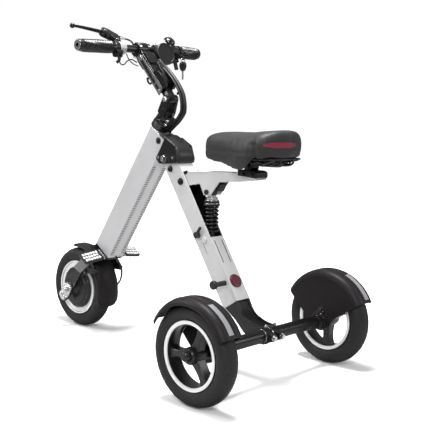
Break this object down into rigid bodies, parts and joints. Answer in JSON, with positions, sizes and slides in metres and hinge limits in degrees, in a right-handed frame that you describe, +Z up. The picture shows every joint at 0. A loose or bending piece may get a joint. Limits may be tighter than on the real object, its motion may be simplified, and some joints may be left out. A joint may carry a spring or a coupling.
{
  "type": "folding electric tricycle scooter",
  "caption": "Folding three-wheeled electric scooter for adults: leaning battery column with hub-motor front wheel, hinged rear beam with axle, sprung saddle arm and folding bars.",
  "frame": {"origin": "on the ground directly below the middle of the rear axle", "axes": "+X is the direction of travel, +Y is the rider's left, +Z is up; the wheels turn about Y"},
  "size_m": [1.041, 0.602, 0.9353],
  "materials": {
    "silver_paint": "satin light silver paint",
    "column_silver": "satin anodised extrusion",
    "black_paint": "semi-gloss black paint",
    "black_plastic": "grained black plastic",
    "fender_plastic": "dark moulded plastic",
    "steel": "zinc plated",
    "dark_steel": "blackened steel",
    "wheel_alloy": "black cast alloy with machined lip",
    "motor_alloy": "dark cast motor shell",
    "tyre": "black tread rubber",
    "rubber": "moulded rubber",
    "vinyl": "black vinyl saddle cover",
    "reflector_red": "prismatic red lens",
    "grey_strip": "grey inlay",
    "spring_black": "powder coated coil",
    "battery_blue": "shrink wrap"
  },
  "bodies": {
    "column": {"column": "column_silver", "end_cap": "black_paint", "battery_pack": "battery_blue", "head_bearings": "steel", "headset_collar": "dark_steel", "hinge_bracket": "black_paint", "hinge_cover": "black_plastic", "column_bolts": "steel", "footrest_pins": "steel"},
    "left_footrest": {"left_footrest": "black_paint"},
    "right_footrest": {"right_footrest": "black_paint"},
    "rear_frame": {"rear_beam": "silver_paint", "shock_guide": "black_plastic", "beam_bolts": "dark_steel", "rear_reflector": "reflector_red", "side_peg": "rubber", "yoke": "black_paint", "axle_tube": "black_paint", "axle_bolts": "steel", "rear_axle": "steel", "left_fender": "fender_plastic", "right_fender": "fender_plastic", "fender_strips": "grey_strip"},
    "quick_release": {"quick_release": "dark_steel"},
    "left_wheel": {"left_wheel": "wheel_alloy", "left_tyre": "tyre", "left_wheel_bearings": "steel"},
    "right_wheel": {"right_wheel": "wheel_alloy", "right_tyre": "tyre", "right_wheel_bearings": "steel"},
    "steering": {"fork": "black_paint", "front_axle": "steel", "front_fender": "fender_plastic", "front_mudguard": "fender_plastic", "lower_stem": "black_paint", "stem_pin": "steel"},
    "front_wheel": {"front_wheel": "motor_alloy", "front_tyre": "tyre"},
    "handlebar": {"upper_stem": "black_paint", "handlebar": "black_paint", "grips": "rubber", "brake_perch": "steel", "throttle_housing": "black_plastic", "display": "black_plastic", "bell": "steel", "bag_hook": "black_paint"},
    "stem_latch": {"stem_latch": "dark_steel"},
    "brake_lever": {"brake_lever": "black_paint"},
    "throttle_lever": {"throttle_lever": "black_plastic"},
    "key": {"key": "steel"},
    "seat_arm": {"seat_arm": "silver_paint", "rubber_bumper": "rubber", "saddle_clamp": "black_paint", "arm_bolts": "dark_steel"},
    "saddle": {"saddle_cushion": "vinyl", "saddle_pan": "black_plastic", "saddle_rails": "dark_steel"},
    "shock_upper": {"shock_body": "dark_steel", "shock_spring": "spring_black"},
    "shock_lower": {"shock_shaft": "dark_steel"}
  },
  "joints": [
    {"name": "steer", "type": "hinge", "parent": "column", "child": "steering", "pos_m": [0.67495, 0, 0.2806], "axis": [-0.5592, 0, 0.829], "range_deg": [-35, 35]},
    {"name": "front_wheel_spin", "type": "hinge", "parent": "steering", "child": "front_wheel", "pos_m": [0.787, 0, 0.127], "axis": [0, 1, 0], "continuous": true},
    {"name": "stem_fold", "type": "hinge", "parent": "steering", "child": "handlebar", "pos_m": [0.38351, 0, 0.73056], "axis": [0, 1, 0], "range_deg": [0, 60]},
    {"name": "stem_latch_turn", "type": "hinge", "parent": "handlebar", "child": "stem_latch", "pos_m": [0.39794, 0, 0.77946], "axis": [0, -1, 0], "range_deg": [0, 75]},
    {"name": "brake_lever_pull", "type": "hinge", "parent": "handlebar", "child": "brake_lever", "pos_m": [0.55525, 0.102, 0.91482], "axis": [-0.6947, 0, 0.7193], "range_deg": [0, 12]},
    {"name": "throttle_push", "type": "hinge", "parent": "handlebar", "child": "throttle_lever", "pos_m": [0.50107, -0.124, 0.84545], "axis": [0, -1, 0], "range_deg": [0, 30]},
    {"name": "key_swing", "type": "hinge", "parent": "handlebar", "child": "key", "pos_m": [0.46165, -0.1215, 0.85276], "axis": [0, 1, 0], "range_deg": [-8, 30]},
    {"name": "left_footrest_fold", "type": "hinge", "parent": "column", "child": "left_footrest", "pos_m": [0.67607, 0.04, 0.27894], "axis": [0.829, 0, 0.5592], "range_deg": [0, 88]},
    {"name": "right_footrest_fold", "type": "hinge", "parent": "column", "child": "right_footrest", "pos_m": [0.67607, -0.04, 0.27894], "axis": [-0.829, 0, -0.5592], "range_deg": [0, 88]},
    {"name": "frame_fold", "type": "hinge", "parent": "column", "child": "rear_frame", "pos_m": [0.37055, 0, 0.5638], "axis": [0, -1, 0], "range_deg": [0, 60]},
    {"name": "quick_release_turn", "type": "hinge", "parent": "rear_frame", "child": "quick_release", "pos_m": [0.23656, 0.03, 0.36347], "axis": [0, 1, 0], "range_deg": [0, 90]},
    {"name": "left_wheel_spin", "type": "hinge", "parent": "rear_frame", "child": "left_wheel", "pos_m": [0, 0.265, 0.127], "axis": [0, 1, 0], "continuous": true},
    {"name": "right_wheel_spin", "type": "hinge", "parent": "rear_frame", "child": "right_wheel", "pos_m": [0, -0.265, 0.127], "axis": [0, 1, 0], "continuous": true},
    {"name": "seat_rocker", "type": "hinge", "parent": "rear_frame", "child": "seat_arm", "pos_m": [0.30943, 0, 0.50464], "axis": [0, -1, 0], "range_deg": [0, 12]},
    {"name": "saddle_tilt", "type": "hinge", "parent": "seat_arm", "child": "saddle", "pos_m": [0.072, 0, 0.56], "axis": [0, 1, 0], "range_deg": [-6, 6]},
    {"name": "shock_swing", "type": "hinge", "parent": "seat_arm", "child": "shock_upper", "pos_m": [0.21223, 0, 0.483], "axis": [0, -1, 0], "range_deg": [-15.6, 0.2]},
    {"name": "shock_slide", "type": "slide", "parent": "shock_upper", "child": "shock_lower", "axis": [0, 0, 1], "range_m": [-0.0003, 0.01984], "deforming": ["shock_spring"]}
  ],
  "couplings": [
    {"joint": "shock_swing", "follows": "seat_rocker", "ratio": -1.2837},
    {"joint": "shock_slide", "follows": "seat_rocker", "m_per_rad": 0.093294}
  ]
}
